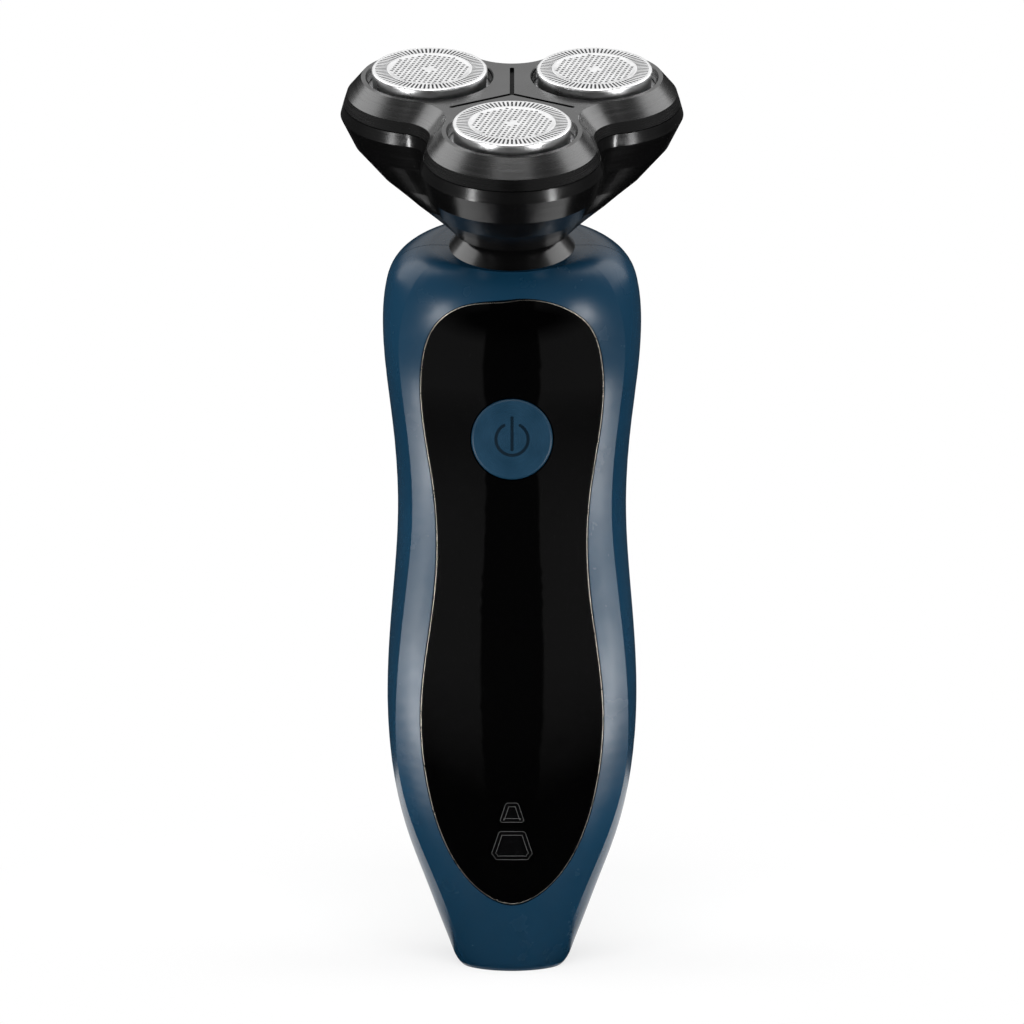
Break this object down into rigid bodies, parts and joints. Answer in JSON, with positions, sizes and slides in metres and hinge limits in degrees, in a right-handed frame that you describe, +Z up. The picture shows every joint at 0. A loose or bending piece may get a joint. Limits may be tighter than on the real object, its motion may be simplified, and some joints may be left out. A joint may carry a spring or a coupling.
{
  "type": "electric shaver",
  "caption": "Cordless rotary shaver: curved blue handle with gloss black front panel and round power button, floating black trefoil head with perforated steel shaving caps.",
  "frame": {"origin": "the middle of the charging socket's mouth, in the plane of the flat foot", "axes": "+Z up the handle to the head; -Y towards the front panel and button; +X to the right seen from the front; metres"},
  "size_m": [0.0622, 0.0619, 0.1685],
  "materials": {
    "handle_blue": "soft-touch dark petrol blue plastic",
    "button_blue": "matte blue plastic, fine concentric texture",
    "panel_black": "polished piano-black plastic",
    "lens_smoke": "smoked clear plastic, flush with the panel",
    "head_black": "satin black plastic",
    "cap_steel": "pressed stainless foil with polished skirt",
    "cutter_steel": "ground stainless blades",
    "hub_white": "natural white acetal",
    "gear_white": "natural acetal gears",
    "inner_black": "black moulded inner parts",
    "inner_grey": "grey moulded chassis",
    "shaft_steel": "drawn steel shafts, pins and springs",
    "screw_steel": "zinc-plated screws",
    "seal_rubber": "black silicone seals",
    "membrane_rubber": "grey silicone membrane",
    "board_green": "green solder mask on glass-epoxy board",
    "motor_steel": "plated motor can",
    "battery_sleeve": "shrink-sleeved cell",
    "nickel": "nickel strip and socket shell",
    "led_white": "clear led package"
  },
  "bodies": {
    "handle": {"front_housing": "handle_blue", "rear_housing": "handle_blue", "housing_screws": "screw_steel", "front_panel": "panel_black", "upper_indicator_lens": "lens_smoke", "lower_indicator_lens": "lens_smoke", "button_membrane": "membrane_rubber", "tact_switch": "inner_black", "circuit_board": "board_green", "indicator_leds": "led_white", "inner_chassis": "inner_grey", "battery": "battery_sleeve", "battery_tabs": "nickel", "charging_socket": "nickel", "charging_board": "board_green", "neck_collar": "head_black", "collar_seal": "seal_rubber", "shaft_seal": "seal_rubber", "motor_bracket": "inner_black", "collar_screws": "screw_steel", "motor_screws": "screw_steel", "motor_can": "motor_steel", "motor_end_cap": "inner_black"},
    "button": {"power_button": "button_blue"},
    "rotor": {"motor_shaft": "shaft_steel", "drive_coupling": "gear_white"},
    "swivel": {"swivel_ring": "inner_grey", "pitch_pins": "shaft_steel", "roll_pins": "shaft_steel"},
    "head": {"head_base": "head_black", "gear_cover": "inner_black", "gear_cover_screws": "screw_steel"},
    "sun": {"sun_gear": "gear_white", "coupling_pin": "shaft_steel"},
    "cover": {"head_cover": "head_black", "retaining_frame": "inner_black", "lock_knob": "inner_black"},
    "planet_front": {"planet_gear_front": "gear_white", "drive_shaft_front": "shaft_steel", "shaft_spring_front": "shaft_steel"},
    "cap_front": {"shaving_cap_front": "cap_steel"},
    "cutter_front": {"inner_cutter_front": "cutter_steel", "cutter_hub_front": "hub_white"},
    "planet_right": {"planet_gear_right": "gear_white", "drive_shaft_right": "shaft_steel", "shaft_spring_right": "shaft_steel"},
    "cap_right": {"shaving_cap_right": "cap_steel"},
    "cutter_right": {"inner_cutter_right": "cutter_steel", "cutter_hub_right": "hub_white"},
    "planet_left": {"planet_gear_left": "gear_white", "drive_shaft_left": "shaft_steel", "shaft_spring_left": "shaft_steel"},
    "cap_left": {"shaving_cap_left": "cap_steel"},
    "cutter_left": {"inner_cutter_left": "cutter_steel", "cutter_hub_left": "hub_white"}
  },
  "joints": [
    {"name": "button_press", "type": "slide", "parent": "handle", "child": "button", "axis": [0, 1, 0], "range_m": [0, 0.0008], "stiffness_N_per_m": 1500, "springref_m": -0.0004, "deforming": ["button_membrane"]},
    {"name": "motor_spin", "type": "hinge", "parent": "handle", "child": "rotor", "pos_m": [0, -0.00246, 0.13967], "axis": [0, -0.342, 0.9397], "continuous": true},
    {"name": "head_pitch", "type": "hinge", "parent": "handle", "child": "swivel", "pos_m": [0, -0.00246, 0.13967], "axis": [1, 0, 0], "range_deg": [-4, 4], "stiffness_Nm_per_rad": 1},
    {"name": "head_roll", "type": "hinge", "parent": "swivel", "child": "head", "pos_m": [0, -0.00246, 0.13967], "axis": [0, 0.9397, 0.342], "range_deg": [-4, 4], "stiffness_Nm_per_rad": 1},
    {"name": "sun_spin", "type": "hinge", "parent": "head", "child": "sun", "pos_m": [0, -0.00246, 0.13967], "axis": [0, -0.342, 0.9397], "continuous": true},
    {"name": "cover_lift", "type": "slide", "parent": "head", "child": "cover", "axis": [0, -0.342, 0.9397], "range_m": [0, 0.015]},
    {"name": "planet_front_spin", "type": "hinge", "parent": "head", "child": "planet_front", "pos_m": [0, -0.02625, 0.15474], "axis": [0, -0.342, 0.9397], "continuous": true},
    {"name": "cap_front_float", "type": "slide", "parent": "cover", "child": "cap_front", "axis": [0, 0.342, -0.9397], "range_m": [0, 0.0015], "stiffness_N_per_m": 400, "springref_m": -0.001, "deforming": ["shaft_spring_front"]},
    {"name": "cutter_front_spin", "type": "hinge", "parent": "cap_front", "child": "cutter_front", "pos_m": [0, -0.02625, 0.15474], "axis": [0, -0.342, 0.9397], "continuous": true},
    {"name": "planet_right_spin", "type": "hinge", "parent": "head", "child": "planet_right", "pos_m": [0.0149, -0.00201, 0.16356], "axis": [0, -0.342, 0.9397], "continuous": true},
    {"name": "cap_right_float", "type": "slide", "parent": "cover", "child": "cap_right", "axis": [0, 0.342, -0.9397], "range_m": [0, 0.0015], "stiffness_N_per_m": 400, "springref_m": -0.001, "deforming": ["shaft_spring_right"]},
    {"name": "cutter_right_spin", "type": "hinge", "parent": "cap_right", "child": "cutter_right", "pos_m": [0.0149, -0.00201, 0.16356], "axis": [0, -0.342, 0.9397], "continuous": true},
    {"name": "planet_left_spin", "type": "hinge", "parent": "head", "child": "planet_left", "pos_m": [-0.0149, -0.00201, 0.16356], "axis": [0, -0.342, 0.9397], "continuous": true},
    {"name": "cap_left_float", "type": "slide", "parent": "cover", "child": "cap_left", "axis": [0, 0.342, -0.9397], "range_m": [0, 0.0015], "stiffness_N_per_m": 400, "springref_m": -0.001, "deforming": ["shaft_spring_left"]},
    {"name": "cutter_left_spin", "type": "hinge", "parent": "cap_left", "child": "cutter_left", "pos_m": [-0.0149, -0.00201, 0.16356], "axis": [0, -0.342, 0.9397], "continuous": true}
  ],
  "couplings": [
    {"joint": "sun_spin", "follows": "motor_spin", "ratio": 1},
    {"joint": "planet_front_spin", "follows": "motor_spin", "ratio": -1.5294},
    {"joint": "cutter_front_spin", "follows": "motor_spin", "ratio": -1.5294},
    {"joint": "planet_right_spin", "follows": "motor_spin", "ratio": -1.5294},
    {"joint": "cutter_right_spin", "follows": "motor_spin", "ratio": -1.5294},
    {"joint": "planet_left_spin", "follows": "motor_spin", "ratio": -1.5294},
    {"joint": "cutter_left_spin", "follows": "motor_spin", "ratio": -1.5294}
  ]
}
